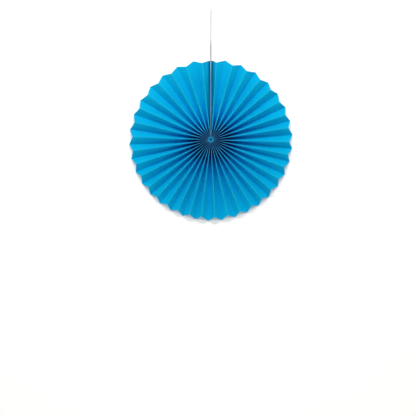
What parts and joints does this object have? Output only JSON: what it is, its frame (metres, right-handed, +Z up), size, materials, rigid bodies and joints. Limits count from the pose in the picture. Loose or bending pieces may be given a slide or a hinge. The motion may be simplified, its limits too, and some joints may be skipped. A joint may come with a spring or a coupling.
{
  "type": "paper fan rosette",
  "caption": "Round wall rosette of blue pleated paper, gathered at its middle by a doubled white string that it hangs on.",
  "frame": {"origin": "the hanging point, in the middle of the pin hole of the string's loop", "axes": "+Z up along the string, -Y out of the rosette's front towards the viewer, +X to the right seen from the front"},
  "size_m": [0.3993, 0.025, 0.5156],
  "materials": {
    "blue_paper": "matte dyed paper",
    "adhesive": "milky",
    "white_string": "twisted cotton"
  },
  "bodies": {
    "root": {"pleated_paper": "blue_paper", "adhesive_strip": "adhesive", "hanging_string": "white_string"}
  },
  "joints": []
}
